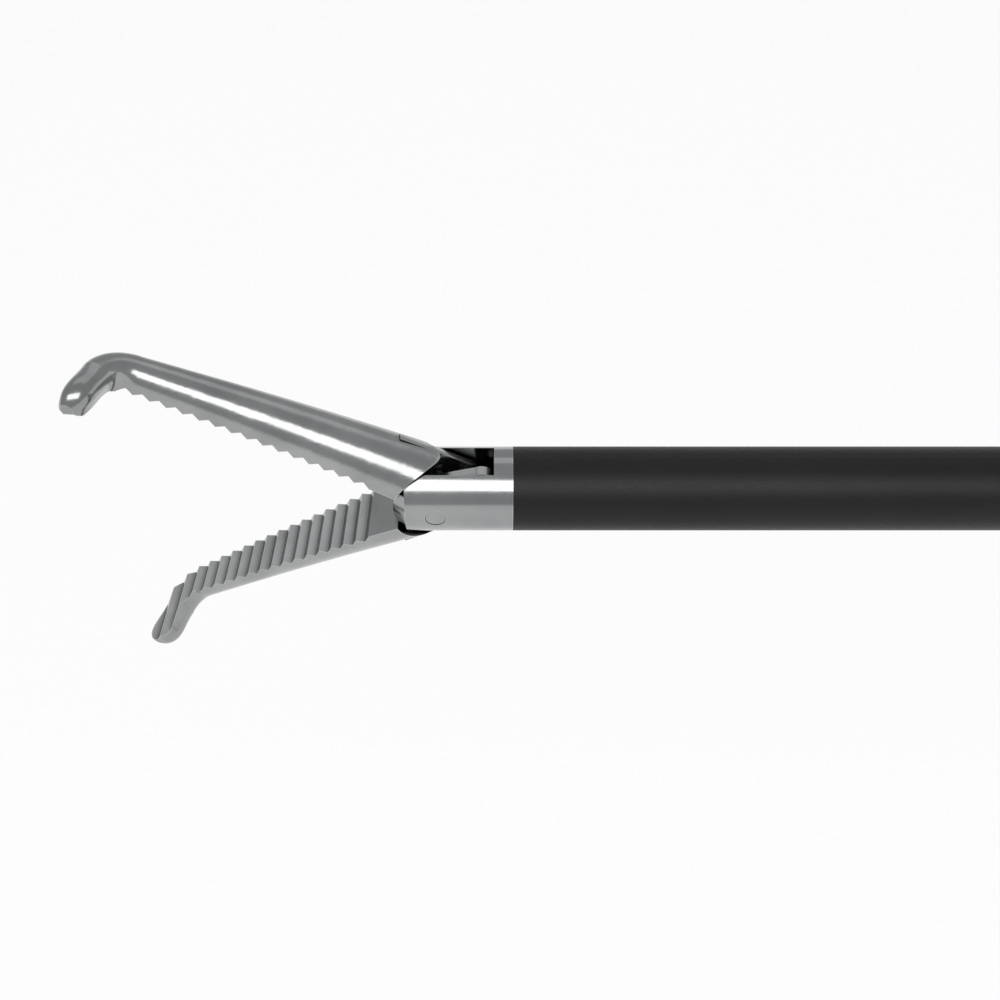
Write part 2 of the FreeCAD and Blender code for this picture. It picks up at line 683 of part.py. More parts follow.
def knob_and_hub():
    """The fluted knob turns the steel hub, the tube and the jaws about the shaft axis."""
    core = hub_core_diameter / 2
    journal = hub_journal_diameter / 2
    bore = tube_radius + close_gap
    groove = journal - clip_groove_depth
    rod_way = rod_radius + free_gap
    seal_way = seal_diameter / 2
    seal_start = hub_end - seal_thickness
    hub = turned("shaft_hub", [
        (hub_start, bore), (hub_start, core), (collar_start, core), (collar_start, collar_radius),
        (journal_start, collar_radius), (journal_start, journal), (clip_start, journal),
        (clip_start, groove), (clip_end, groove), (clip_end, journal), (hub_end, journal),
        (hub_end, seal_way), (seal_start, seal_way), (seal_start, rod_way),
        (tube_length + seat_gap, rod_way), (tube_length + seat_gap, bore)])
    port_hole = circle_sketch(hub, "XY_Plane", port_diameter / 2 + close_gap, port_x, 0.0)
    drilled_up(hub, port_hole, hub_collar_diameter)

    turned("hub_clip", [
        (clip_start + close_gap, groove + close_gap), (clip_start + close_gap, journal + clip_rim),
        (clip_end - close_gap, journal + clip_rim), (clip_end - close_gap, groove + close_gap)])
    clip = parts[-1]
    mouth = outline(clip, "XY_Plane", [
        (clip_start - 1, -groove * 0.8), (clip_end + 1, -groove * 0.8),
        (clip_end + 1, groove * 0.8), (clip_start - 1, groove * 0.8)])
    drilled_down(clip, mouth, hub_collar_diameter)

    turned("rod_seal", [
        (seal_start + close_gap, rod_radius + close_gap), (seal_start + close_gap, seal_way - close_gap),
        (hub_end - close_gap, seal_way - close_gap), (hub_end - close_gap, rod_radius + close_gap)])

    knob_radius = knob_diameter / 2
    knob_end = knob_lip + hub_core_length - close_gap
    knob = turned("rotation_knob", [
        (0.0, shaft_radius + seat_gap), (0.0, knob_nose_diameter / 2 - chamfer),
        (chamfer, knob_nose_diameter / 2), (knob_end * 0.5, knob_radius),
        (knob_end - chamfer * 3, knob_radius), (knob_end, knob_radius - chamfer * 3),
        (knob_end, core + close_gap), (knob_lip, core + close_gap), (knob_lip, shaft_radius + seat_gap)])
    screw_hole = circle_sketch(knob, "XY_Plane", set_screw_diameter / 2 + close_gap, knob_end * 0.75, 0.0)
    drilled_down(knob, screw_hole, knob_diameter)
    flute_reach = knob_radius + knob_flute_diameter * 0.2
    flute = circle_sketch(knob, "YZ_Plane", knob_flute_diameter / 2,
                          flute_reach * math.sin(math.radians(22.5)), flute_reach * math.cos(math.radians(22.5)))
    cut = pocketed(knob, flute, knob_end * 3)
    ring = knob.newObject("PartDesign::PolarPattern", "knob_flutes")
    ring.Originals = [cut]
    ring.Axis = (origin_plane(knob, "X_Axis"), [""])
    ring.Angle = 360.0
    ring.Occurrences = 8
    knob.Tip = ring
    place(knob, hub_start - knob_lip)

    screw_top = -core - close_gap
    screw_length = knob_radius - core - knob_flute_diameter * 0.3
    screw_x = hub_start - knob_lip + knob_end * 0.75
    keep(cylinder("knob_set_screw", set_screw_diameter / 2, screw_length, "Z",
                  screw_x, None, screw_top - screw_length), "knob_set_screw")


def flush_port():
    """A luer port on the turning hub, with its rubber cap."""
    radius = port_diameter / 2
    foot = tube_radius + seat_gap
    top = collar_radius + port_height - foot
    port = turned("flush_port", [
        (0.0, port_bore / 2), (0.0, radius), (top * 0.6, radius), (top, radius * 0.85), (top, port_bore / 2)])
    stand(port, port_x, foot)
    cap_foot = collar_radius + port_height + cap_wall + close_gap - cap_height
    cap = turned("flush_cap", [
        (0.0, radius + close_gap), (0.0, radius + cap_wall), (cap_height - chamfer, radius + cap_wall),
        (cap_height, radius + cap_wall - chamfer), (cap_height, 0.0),
        (cap_height - cap_wall, 0.0), (cap_height - cap_wall, radius + close_gap)])
    stand(cap, port_x, cap_foot)


def bearing():
    """The flanged bush in the housing's mouth that the hub turns in."""
    inner = hub_journal_diameter / 2 + running_gap
    outer = inner + bush_wall
    start = journal_start + running_gap
    turned("hub_bush", [
        (start, inner), (start, outer + bush_flange), (start + bush_flange_thickness, outer + bush_flange),
        (start + bush_flange_thickness, outer), (bush_end, outer), (bush_end, inner)])


clevis()
pins_and_rod()
shaft()
knob_and_hub()
flush_port()
bearing()


def rod_fittings():
    """The spool on the rod's end that the lever's fork drives, and its lock nut."""
    neck = spool_neck_diameter / 2
    rim = spool_flange_diameter / 2
    front = lever_pivot_distance - spool_half
    back = lever_pivot_distance + spool_half
    bore = rod_radius + close_gap
    turned("rod_spool", [
        (front - spool_flange_thickness, bore), (front - spool_flange_thickness, rim), (front, rim),
        (front, neck), (back, neck), (back, rim), (back + spool_flange_thickness, rim),
        (back + spool_flange_thickness, bore)])
    nut = new_body("spool_lock_nut")
    corners = []
    for index in range(6):
        turn = math.radians(60 * index)
        corners.append((spool_nut_size * math.cos(turn), spool_nut_size * math.sin(turn)))
    padded(nut, outline(nut, "YZ_Plane", corners), spool_nut_thickness)
    pocketed(nut, circle_sketch(nut, "YZ_Plane", bore), spool_nut_thickness * 3)
    place(nut, back + spool_flange_thickness + close_gap + spool_nut_thickness / 2)


def electrode():
    """The upright post for the cable and the leaf that feeds the rod from it."""
    top = post_foot + post_height
    shank = post_diameter / 2
    post = turned("electrode_post", [
        (0.0, 0.0), (0.0, shank * 0.75), (post_seat, shank * 0.75), (post_seat, post_base_diameter / 2),
        (post_seat + post_base_height, post_base_diameter / 2), (post_seat + post_base_height, shank),
        (post_seat + top - chamfer * 2, shank), (post_seat + top, shank - chamfer * 2),
        (post_seat + top, 0.0)])
    stand(post, post_setback, post_foot)
    leaf = new_body("contact_leaf")
    touch = rod_radius + running_gap
    half = contact_leaf_thickness / 2
    padded(leaf, outline(leaf, "XZ_Plane", [
        (post_setback - half, touch), (post_setback + post_diameter, touch),
        (post_setback + post_diameter, touch + contact_leaf_thickness),
        (post_setback + half, touch + contact_leaf_thickness),
        (post_setback + half, post_foot - close_gap), (post_setback - half, post_foot - close_gap)]),
        rod_radius * 2)


def swung(point, angle):
    """A point of the lever after the lever has been squeezed by an angle."""
    turn = math.radians(angle)
    across = point[0] - hinge[0]
    up = point[1] - hinge[1]
    return (hinge[0] + across * math.cos(turn) + up * math.sin(turn),
            hinge[1] - across * math.sin(turn) + up * math.cos(turn))


def arc_band(inner, outer, first, last, half):
    """Part of a ring about the lever's pivot, between two angles forward of straight down."""
    far = outer * 2
    wedge = plate([hinge, below_hinge(far, first), below_hinge(far, (first + last) / 2),
                   below_hinge(far, last)], -half, half)
    return disc(hinge, outer, -half, half).cut(disc(hinge, inner, -half, half)).common(wedge)


def housing_form():
    """Both housing shells as one: barrel, arm and finger ring, before it is hollowed."""
    wide = plain(housing_half_width)
    slim = plain(arm_half_width)
    front = plain(housing_front)
    boss = plain(bush_outer) + plain(boss_wall)
    body = rounded(link(barrel_front, housing_front_radius, barrel_rear, housing_rear_radius, -wide, wide),
                   wide, plain(edge_round) * 2)
    mouth = Part.makeCylinder(boss, barrel_front[0] - front, Vector(front, 0, 0), Vector(1, 0, 0))
    ring = plain(finger_ring_radius) + plain(ring_band)
    arm = link(arm_top, arm_radius * 1.25, arm_foot, arm_radius, -slim, slim)
    grip = arm.fuse(link(ring_top, ring, ring_foot, ring, -slim, slim)).removeSplitter()
    grip = grip.cut(link(ring_top, finger_ring_radius, ring_foot, finger_ring_radius, -slim, slim))
    grip = rounded(grip, slim, plain(edge_round))
    return body.fuse([mouth, grip])


def screw_bores(spot, face):
    """Room for one housing screw: its shank and its sunk head."""
    shank = disc(spot, screw_diameter / 2 + close_gap, -face, face * 0.75)
    head = disc(spot, screw_head_diameter / 2 + seat_gap, -face - 1, -face + plain(screw_head_depth))
    return [shank, head]


def pawl_plates(margin, swing, half):
    """The ratchet lever's outline, grown by a margin and turned by a swing."""
    turn = math.radians(swing)

    def moved(point):
        across = point[0] - pawl_pivot[0]
        up = point[1] - pawl_pivot[1]
        return (pawl_pivot[0] + across * math.cos(turn) - up * math.sin(turn),
                pawl_pivot[1] + across * math.sin(turn) + up * math.cos(turn))

    root = plain(pawl_root_radius) + margin
    nose = plain(pawl_nose_radius) + margin
    return [link(pawl_pivot, root, moved(pawl_nose), nose, -half, half),
            link(pawl_pivot, root, moved(pawl_tab), plain(pawl_tab_radius) + margin, -half, half)]


def housing_hollows():
    """Everything that is open inside the two shells."""
    room = plain(cavity_half_width)
    front = plain(housing_front)
    free = plain(free_gap)
    along = Vector(1, 0, 0)
    bush_hole = Part.makeCylinder(plain(bush_outer) + plain(close_gap), plain(bush_length) + 1,
                                  Vector(front - 1, 0, 0), along)
    clip_room = Part.makeCylinder(plain(hub_journal_diameter) / 2 + plain(clip_rim) + free,
                                  plain(hub_end) - plain(bush_end) + 2, Vector(plain(bush_end), 0, 0), along)
    top = plain(spool_flange_diameter) / 2 + free * 3
    rear = plain(rod_end) + plain(rod_travel) + 2
    rod_room = plate([(plain(bush_end), -top), (rear, -top), (rear, top), (plain(bush_end), top)], -room, room)
    boss = plain(lever_boss_radius) + free
    knee = plain(lever_knee_radius) + free
    sweeps = [link(hinge, boss, swung(lever_knee, turn), knee, -room, room)
              for turn in (-lever_overtravel, lever_squeeze / 2, lever_squeeze + 1)]
    rack_half = plain(rack_thickness) / 2 + free
    rack_low = plain(rack_radius) - plain(rack_width) / 2 - free
    rack_high = plain(rack_radius) + plain(rack_width) / 2 + plain(rack_tooth_depth) + free
    rack_way = arc_band(rack_low, rack_high, plain(rack_reach_angle) + lever_squeeze + 3, 0, rack_half)
    pawl_room = []
    for swing in (0, plain(pawl_swing)):
        pawl_room += pawl_plates(free * 1.5, swing, plain(pawl_room_half_width))
    seat = Part.makeCylinder(plain(post_base_diameter) / 2 + plain(seat_gap), 20,
                             Vector(plain(post_setback), 0, plain(post_seat + post_foot) - plain(close_gap)))
    post_hole = Part.makeCylinder(plain(post_diameter) * 0.375 + plain(close_gap), 20,
                                  Vector(plain(post_setback), 0, 0))
    face = plain(housing_half_width)
    slim = plain(arm_half_width)
    bores = screw_bores(front_screw, face) + screw_bores(rear_screw, face) + screw_bores(ring_screw, slim)
    axle = disc(hinge, pivot_screw_diameter / 2 + close_gap, -face, face)
    head = disc(hinge, pivot_head_radius + seat_gap, -face - 1, -face + plain(pivot_head_depth))
    nut = disc(hinge, pivot_head_radius + seat_gap, face - plain(pivot_head_depth), face + 1)
    pin = disc(pawl_pivot, pawl_pin_diameter / 2 + close_gap, -pawl_pin_half, pawl_pin_half)
    return [bush_hole, clip_room, rod_room, rack_way, seat, post_hole, axle, head, nut, pin] \
        + sweeps + pawl_room + bores


def housing():
    whole = housing_form().cut(housing_hollows())
    far = plain(lever_pivot_distance) * 2
    half = Part.makeBox(far, far, far, Vector(0, 0, -far / 2))
    shaped("handle_right", whole.common(half))
    shaped("handle_left", whole.cut(half))


def screw(spot, face, end):
    head = disc(spot, screw_head_diameter / 2, -face + 0.1, -face + plain(screw_head_depth) - plain(close_gap))
    return head.fuse(disc(spot, screw_diameter / 2, -face + 0.5, end))


def fasteners():
    """Three housing screws, and the screw, cap nut and washers of the lever's pivot."""
    face = plain(housing_half_width)
    slim = plain(arm_half_width)
    shaped("housing_screws", Part.makeCompound([
        screw(front_screw, face, face * 0.7), screw(rear_screw, face, face * 0.7),
        screw(ring_screw, slim, slim * 0.7)]))
    depth = plain(pivot_head_depth)
    head = disc(hinge, pivot_head_radius, -face + 0.1, -face + depth - plain(close_gap))
    nut_start = face - depth + plain(close_gap)
    nut = disc(hinge, pivot_head_radius, nut_start, face - 0.1)
    bore = disc(hinge, pivot_screw_diameter / 2 + close_gap, nut_start - 1, nut_start + depth * 0.6)
    shaped("lever_pivot_screw", head.fuse(disc(hinge, pivot_screw_diameter / 2, -face + 0.5,
                                               nut_start + depth * 0.55)))
    shaped("lever_pivot_nut", nut.cut(bore))
    inner = plain(lever_thickness) / 2 + plain(running_gap)
    outer = plain(cavity_half_width) - plain(running_gap)
    ring = disc(hinge, lever_boss_radius * 0.9, inner, outer).cut(
        disc(hinge, pivot_screw_diameter / 2 + running_gap, inner, outer))
    shaped("lever_washers", Part.makeCompound([ring, ring.mirror(Vector(0, 0, 0), Vector(0, 1, 0))]))


def thumb_lever():
    """The squeezed lever: fork on top, thumb ring below."""
    half = plain(lever_thickness) / 2
    ring = plain(thumb_ring_radius) + plain(ring_band) * 0.85
    grip = link(hinge, lever_boss_radius, lever_knee, lever_knee_radius, -half, half)
    grip = grip.fuse([link(lever_knee, lever_knee_radius, thumb_centre, lever_knee_radius * 1.8, -half, half),
                      disc(thumb_centre, ring, -half, half)]).removeSplitter()
    grip = rounded(grip.cut(disc(thumb_centre, thumb_ring_radius, -half, half)), half, plain(edge_round) * 0.7)
    near = plain(spool_neck_diameter) / 2 + plain(free_gap)
    rise = (hinge[0], hinge[1] + plain(lever_arm) * 0.6)
    pad = (hinge[0], 0.0)
    neck = plain(fork_pad_radius) * 0.6
    prongs = []
    for low, high in ((near, half), (-half, -near)):
        prongs.append(link(hinge, lever_boss_radius * 0.7, rise, neck, low, high))
        prongs.append(link(rise, neck, pad, neck * 0.99, low, high))
        prongs.append(disc(pad, fork_pad_radius, low, high))
    bore = disc(hinge, pivot_screw_diameter / 2 + running_gap, -half, half)
    rack_way = arc_band(plain(rack_radius) - plain(rack_width) / 2 - plain(close_gap),
                        plain(rack_radius) + plain(rack_width) / 2 + plain(close_gap),
                        0, -plain(rack_root_angle) - 0.1, plain(rack_thickness) / 2 + plain(close_gap))
    pin = disc(rack_pin_spot, rack_pin_diameter / 2 + close_gap, -half, half)
    shaped("thumb_lever", grip.fuse(prongs).cut([bore, rack_way, pin]).removeSplitter())
    shaped("rack_pin", disc(rack_pin_spot, rack_pin_diameter / 2, -half + 0.3, half - 0.3))


def ratchet():
    """The curved rack on the thumb lever, and the release lever with its pin and spring."""
    half = plain(rack_thickness) / 2
    inner = plain(rack_radius) - plain(rack_width) / 2
    outer = plain(rack_radius) + plain(rack_width) / 2
    band = arc_band(inner, outer, plain(rack_reach_angle), -plain(rack_root_angle), half)
    # A valley lies at the pressed nose when the jaws are shut, and at each click before that
    step = lever_squeeze / plain(rack_clicks)
    swing = math.radians(plain(pawl_swing))
    across = pawl_nose[0] - pawl_pivot[0]
    up = pawl_nose[1] - pawl_pivot[1]
    pressed = (pawl_pivot[0] + across * math.cos(swing) - up * math.sin(swing),
               pawl_pivot[1] + across * math.sin(swing) + up * math.cos(swing))
    pressed_angle = math.degrees(math.atan2(hinge[0] - pressed[0], hinge[1] - pressed[1]))
    seat_room = math.degrees((plain(pawl_nose_radius) + plain(seat_gap) * 2) / outer)
    first = pressed_angle + seat_room - lever_squeeze + step * 2
    teeth = []
    for index in range(5):
        angle = first - step * index
        # The steep side faces back, so squeezing lifts the nose and opening catches it
        teeth.append(plate([below_hinge(outer - 0.5, angle), below_hinge(outer - 0.5, angle + step),
                            below_hinge(outer, angle + step),
                            below_hinge(outer + plain(rack_tooth_depth), angle)], -half, half))
    eye = disc(rack_pin_spot, rack_pin_diameter / 2 + close_gap, -half, half)
    shaped("ratchet_rack", band.fuse(teeth).cut(eye).removeSplitter())

    slim = plain(pawl_half_thickness)
    arms = pawl_plates(0.0, 0.0, slim)
    pad_half = plain(arm_half_width) * 0.8
    pad_start = (pawl_tab[0] + plain(pawl_tab_radius) * 0.2, pawl_tab[1])
    pad = link(pad_start, plain(pawl_tab_radius) * 0.9, pawl_tab, plain(pawl_tab_radius), -pad_half, pad_half)
    eye = disc(pawl_pivot, pawl_pin_diameter / 2 + running_gap, -slim, slim)
    shaped("ratchet_lever", arms[0].fuse([arms[1], pad]).cut(eye).removeSplitter())
    shaped("ratchet_pin", disc(pawl_pivot, pawl_pin_diameter / 2, -pawl_pin_half + 0.1, pawl_pin_half - 0.1))
    low = slim + plain(running_gap)
    high = plain(pawl_room_half_width) - plain(running_gap)
    coil = disc(pawl_pivot, pawl_root_radius - 0.1, low, high).cut(
        disc(pawl_pivot, pawl_pin_diameter / 2 + running_gap, low, high))
    toe = (pawl_pivot[0] + (pawl_nose[0] - pawl_pivot[0]) * 0.7, pawl_pivot[1] + (pawl_nose[1] - pawl_pivot[1]) * 0.7)
    shaped("ratchet_spring", coil.fuse(link((pawl_pivot[0], pawl_pivot[1] + plain(pawl_pin_diameter) * 0.72),
                                            0.31, toe, 0.3, low, high)).cut(
        disc(pawl_pivot, pawl_pin_diameter / 2 + running_gap, low, high)))


rod_fittings()
electrode()
housing()
fasteners()
thumb_lever()
ratchet()


doc.recompute()
for item in doc.Objects:
    if "Invalid" in item.State or "Error" in item.State:
        raise RuntimeError(item.Name + " did not build: " + ", ".join(item.State))
for item in parts:
    if item.Shape.isNull() or not item.Shape.isValid():
        raise RuntimeError(item.Label + " has no valid shape")
os.makedirs("parts", exist_ok=True)
for item in parts:
    item.Shape.exportStep("parts/" + item.Label + ".step")
    print(item.Label, item.Shape.ShapeType, len(item.Shape.Solids), item.Shape.isValid(), round(item.Shape.Volume, 3))
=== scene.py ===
import bpy
import bmesh
import json
import math
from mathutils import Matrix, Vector


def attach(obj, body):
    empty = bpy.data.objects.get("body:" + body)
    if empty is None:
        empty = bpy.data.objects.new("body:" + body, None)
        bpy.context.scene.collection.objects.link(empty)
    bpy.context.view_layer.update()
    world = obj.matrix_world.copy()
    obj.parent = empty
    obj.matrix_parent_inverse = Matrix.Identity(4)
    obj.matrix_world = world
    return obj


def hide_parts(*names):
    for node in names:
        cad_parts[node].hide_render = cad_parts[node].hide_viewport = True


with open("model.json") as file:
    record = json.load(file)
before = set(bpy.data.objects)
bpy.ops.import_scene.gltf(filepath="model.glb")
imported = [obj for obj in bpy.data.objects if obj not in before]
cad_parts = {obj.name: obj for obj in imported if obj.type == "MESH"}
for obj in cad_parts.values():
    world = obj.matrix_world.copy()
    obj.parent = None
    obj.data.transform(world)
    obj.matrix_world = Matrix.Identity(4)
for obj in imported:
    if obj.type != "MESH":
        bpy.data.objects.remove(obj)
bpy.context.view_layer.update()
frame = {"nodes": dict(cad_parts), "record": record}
print("frame loaded:", len(frame["nodes"]), "nodes")


# Colours are written as screen values and mixed as light
def toLinear(hexColour):
    values = []
    for start in (1, 3, 5):
        part = int(hexColour[start:start + 2], 16) / 255
        values.append(part / 12.92 if part <= 0.04045 else ((part + 0.055) / 1.055) ** 2.4)
    return (*values, 1.0)


def addNode(tree, kind, settings=None, links=None):
    node = tree.nodes.new(kind)
    for name, value in (settings or {}).items():
        if isinstance(name, int) or name in node.inputs:
            node.inputs[name].default_value = value
        else:
            setattr(node, name, value)
    for name, source in (links or {}).items():
        tree.links.new(source, node.inputs[name])
    return node


# What all the finishes share: where wear starts and ends, how strong the clouds are, how far the painted
# shade in corners spreads
surfaceRule = {"detail": 4.0, "roughNoise": 0.6, "cloudDetail": 3.0, "cloudNoise": 0.5,
               "clouds": (0.35, 0.65), "fineSpan": (0.3, 0.7), "wearFrom": 0.995, "wearTo": 0.85,
               "wearGloss": -0.12, "bevelSamples": 4, "openSamples": 6, "openFrom": 0.96, "openTo": 0.55}
mmInMetre = 1000
# Mix nodes number their colour sockets this way
mixA = 6
mixB = 7
mixResult = 2


def makeFinish(name, look):
    rule = surfaceRule
    finish = bpy.data.materials.new(name)
    finish.use_nodes = True
    tree = finish.node_tree
    tree.nodes.clear()
    place = addNode(tree, "ShaderNodeTexCoord").outputs["Object"]
    # Machining lines are noise drawn out across the tool's path
    drawn = addNode(tree, "ShaderNodeMapping", {"Scale": look["stretch"]}, {"Vector": place}).outputs[0]
    fine = addNode(tree, "ShaderNodeTexNoise",
                   {"Scale": mmInMetre / look["grain"], "Detail": rule["detail"],
                    "Roughness": rule["roughNoise"]}, {"Vector": drawn}).outputs[0]
    broad = addNode(tree, "ShaderNodeTexNoise",
                    {"Scale": mmInMetre / look["patch"], "Detail": rule["cloudDetail"],
                     "Roughness": rule["cloudNoise"]}, {"Vector": place}).outputs[0]
    # Rounded corners catch handling first, so they are found by comparing a softened normal with the true one
    soft = addNode(tree, "ShaderNodeBevel", {"samples": rule["bevelSamples"],
                                             "Radius": look["edge"] / mmInMetre}).outputs[0]
    hard = addNode(tree, "ShaderNodeNewGeometry").outputs["Normal"]
    meet = addNode(tree, "ShaderNodeVectorMath", {"operation": "DOT_PRODUCT"},
                   {0: soft, 1: hard}).outputs["Value"]
    corner = addNode(tree, "ShaderNodeMapRange", {
        "From Min": rule["wearFrom"], "From Max": rule["wearTo"], "To Min": 0.0, "To Max": 1.0},
        {"Value": meet}).outputs[0]
    worn = addNode(tree, "ShaderNodeMath", {"operation": "MULTIPLY"}, {0: corner, 1: broad}).outputs[0]
    clouds = addNode(tree, "ShaderNodeMapRange", {
        "From Min": rule["clouds"][0], "From Max": rule["clouds"][1]}, {"Value": broad}).outputs[0]
    body = addNode(tree, "ShaderNodeMix", {"data_type": "RGBA", mixA: toLinear(look["colour"]),
                                           mixB: toLinear(look["shade"])}, {0: clouds}).outputs[mixResult]
    colour = addNode(tree, "ShaderNodeMix", {"data_type": "RGBA", mixB: toLinear(look["wear"])},
                     {0: worn, mixA: body}).outputs[mixResult]
    gloss = addNode(tree, "ShaderNodeMapRange", {
        "From Min": rule["fineSpan"][0], "From Max": rule["fineSpan"][1],
        "To Min": look["rough"][0], "To Max": look["rough"][1]}, {"Value": fine}).outputs[0]
    rough = addNode(tree, "ShaderNodeMath", {"operation": "MULTIPLY_ADD", 1: rule["wearGloss"]},
                    {0: worn, 2: gloss}).outputs[0]
    bump = addNode(tree, "ShaderNodeBump", {"Strength": look["bump"], "Distance": look["depth"] / mmInMetre},
                   {"Height": fine}).outputs[0]
    # Painted shade: corners, recesses and tooth roots are pulled towards a dark recess colour where ambient
    # occlusion finds them closed in; on the sleeve that colour is a little lighter than the sleeve
    exposed = addNode(tree, "ShaderNodeAmbientOcclusion", {
        "samples": rule["openSamples"], "Distance": look["crevice"] / mmInMetre}).outputs["AO"]
    recessShadeAndGrimeMask = addNode(tree, "ShaderNodeMapRange", {
        "From Min": rule["openFrom"], "From Max": rule["openTo"], "To Min": 0.0,
        "To Max": look["recessShadeAndGrimeShare"]}, {"Value": exposed}).outputs[0]
    colourWithRecessShadeAndGrime = addNode(tree, "ShaderNodeMix", {"data_type": "RGBA", mixB: toLinear(look["recessShadeAndGrime"])},
                     {0: recessShadeAndGrimeMask, mixA: colour}).outputs[mixResult]
    shader = addNode(tree, "ShaderNodeBsdfPrincipled", {"Metallic": look["metal"]},
                     {"Base Color": colourWithRecessShadeAndGrime, "Roughness": rough, "Normal": bump})
    if look["metal"] == 0.0:
        shader.inputs["IOR"].default_value = look["ior"]
    addNode(tree, "ShaderNodeOutputMaterial", None, {"Surface": shader.outputs[0]})
    return finish


# Lengths are in millimetres: grain is the width of the finest mark, patch that of the cloudy variation and
# crevice how far the painted shade reaches into a corner. Grain finer than a pixel is drawn as coarse as it
# needs to show. The recess colour of each finish is painted shade, except on the sleeve, where it is a little
# lighter than the sleeve itself.
# Hardened stainless steel, ground along the jaw and polished: sharp long highlights, painted shade in the
# tooth roots
groundSteel = {"colour": "#a6a7a7", "shade": "#979898", "wear": "#d2d3d2", "recessShadeAndGrime": "#262627", "metal": 1.0,
               "rough": (0.16, 0.25), "grain": 0.09, "patch": 3.0, "edge": 0.12, "crevice": 0.42,
               "recessShadeAndGrimeShare": 1.0, "bump": 0.10, "depth": 0.01, "stretch": (0.35, 1.0, 1.0)}
# Stainless tube and bar, turned: a clean band of light along it and faint rings round it
turnedSteel = {"colour": "#a2a3a3", "shade": "#979899", "wear": "#cfd0cf", "recessShadeAndGrime": "#4a4a4b", "metal": 1.0,
               "rough": (0.13, 0.20), "grain": 0.12, "patch": 4.0, "edge": 0.12, "crevice": 0.3,
               "recessShadeAndGrimeShare": 0.6, "bump": 0.05, "depth": 0.008, "stretch": (1.0, 0.12, 0.12)}
# Nickelled steel screws and pins: warmer and a little brighter than the stainless
nickelled = {"colour": "#b4b4b1", "shade": "#a6a6a2", "wear": "#dcdcd8", "recessShadeAndGrime": "#55544f", "metal": 1.0,
             "rough": (0.14, 0.24), "grain": 0.15, "patch": 2.0, "edge": 0.15, "crevice": 0.4, "recessShadeAndGrimeShare": 0.6,
             "bump": 0.06, "depth": 0.01, "stretch": (1.0, 1.0, 1.0)}
# Fluoropolymer heat-shrink sleeve: near black with a low, soft sheen
shrinkSleeve = {"colour": "#0d0d0e", "shade": "#121213", "wear": "#19191a", "recessShadeAndGrime": "#1b1b1c", "metal": 0.0,
                "rough": (0.42, 0.54), "ior": 1.36, "grain": 0.10, "patch": 5.0, "edge": 0.12, "crevice": 0.3,
                "recessShadeAndGrimeShare": 0.4, "bump": 0.10, "depth": 0.01, "stretch": (0.3, 1.0, 1.0)}
# Glass-filled nylon, moulded with a fine spark-eroded texture: dark grey, matt, soft edges a shade lighter
glassNylon = {"colour": "#202123", "shade": "#28292b", "wear": "#3a3b3d", "recessShadeAndGrime": "#161617", "metal": 0.0,
              "rough": (0.42, 0.58), "ior": 1.53, "grain": 0.35, "patch": 14.0, "edge": 0.5, "crevice": 1.2,
              "recessShadeAndGrimeShare": 0.6, "bump": 0.35, "depth": 0.05, "stretch": (1.0, 1.0, 1.0)}
# The knob's nylon has a finer texture and handling has made it slightly smoother
knobNylon = {"colour": "#1e1f21", "shade": "#262729", "wear": "#37383a", "recessShadeAndGrime": "#151516", "metal": 0.0,
             "rough": (0.38, 0.54), "ior": 1.53, "grain": 0.30, "patch": 9.0, "edge": 0.4, "crevice": 1.0,
             "recessShadeAndGrimeShare": 0.6, "bump": 0.30, "depth": 0.04, "stretch": (1.0, 1.0, 1.0)}
# Natural acetal, turned: milky white, waxy, with fine rings
naturalAcetal = {"colour": "#dedbd0", "shade": "#d2cec1", "wear": "#e8e5dc", "recessShadeAndGrime": "#a9a595", "metal": 0.0,
                 "rough": (0.34, 0.46), "ior": 1.48, "grain": 0.2, "patch": 4.0, "edge": 0.2, "crevice": 0.4,
                 "recessShadeAndGrimeShare": 0.5, "bump": 0.12, "depth": 0.015, "stretch": (1.0, 0.2, 0.2)}
# Cast silicone seal: mid grey and dull
sealSilicone = {"colour": "#84868a", "shade": "#787a7e", "wear": "#94969a", "recessShadeAndGrime": "#5d5f62", "metal": 0.0,
                "rough": (0.55, 0.7), "ior": 1.41, "grain": 0.2, "patch": 2.5, "edge": 0.2, "crevice": 0.4,
                "recessShadeAndGrimeShare": 0.5, "bump": 0.15, "depth": 0.02, "stretch": (1.0, 1.0, 1.0)}
# Moulded rubber cap: dark grey and the dullest surface here
capRubber = {"colour": "#2a2b2d", "shade": "#333436", "wear": "#434446", "recessShadeAndGrime": "#1d1e1f", "metal": 0.0,
             "rough": (0.6, 0.76), "ior": 1.5, "grain": 0.25, "patch": 4.0, "edge": 0.3, "crevice": 0.6,
             "recessShadeAndGrimeShare": 0.6, "bump": 0.25, "depth": 0.03, "stretch": (1.0, 1.0, 1.0)}
# Rolled phosphor bronze leaf: warm metal, brushed along its length
springBronze = {"colour": "#c09a58", "shade": "#a9844a", "wear": "#d8b878", "recessShadeAndGrime": "#6b4f26", "metal": 1.0,
                "rough": (0.2, 0.32), "grain": 0.15, "patch": 2.0, "edge": 0.15, "crevice": 0.4,
                "recessShadeAndGrimeShare": 0.6, "bump": 0.06, "depth": 0.01, "stretch": (0.3, 1.0, 1.0)}

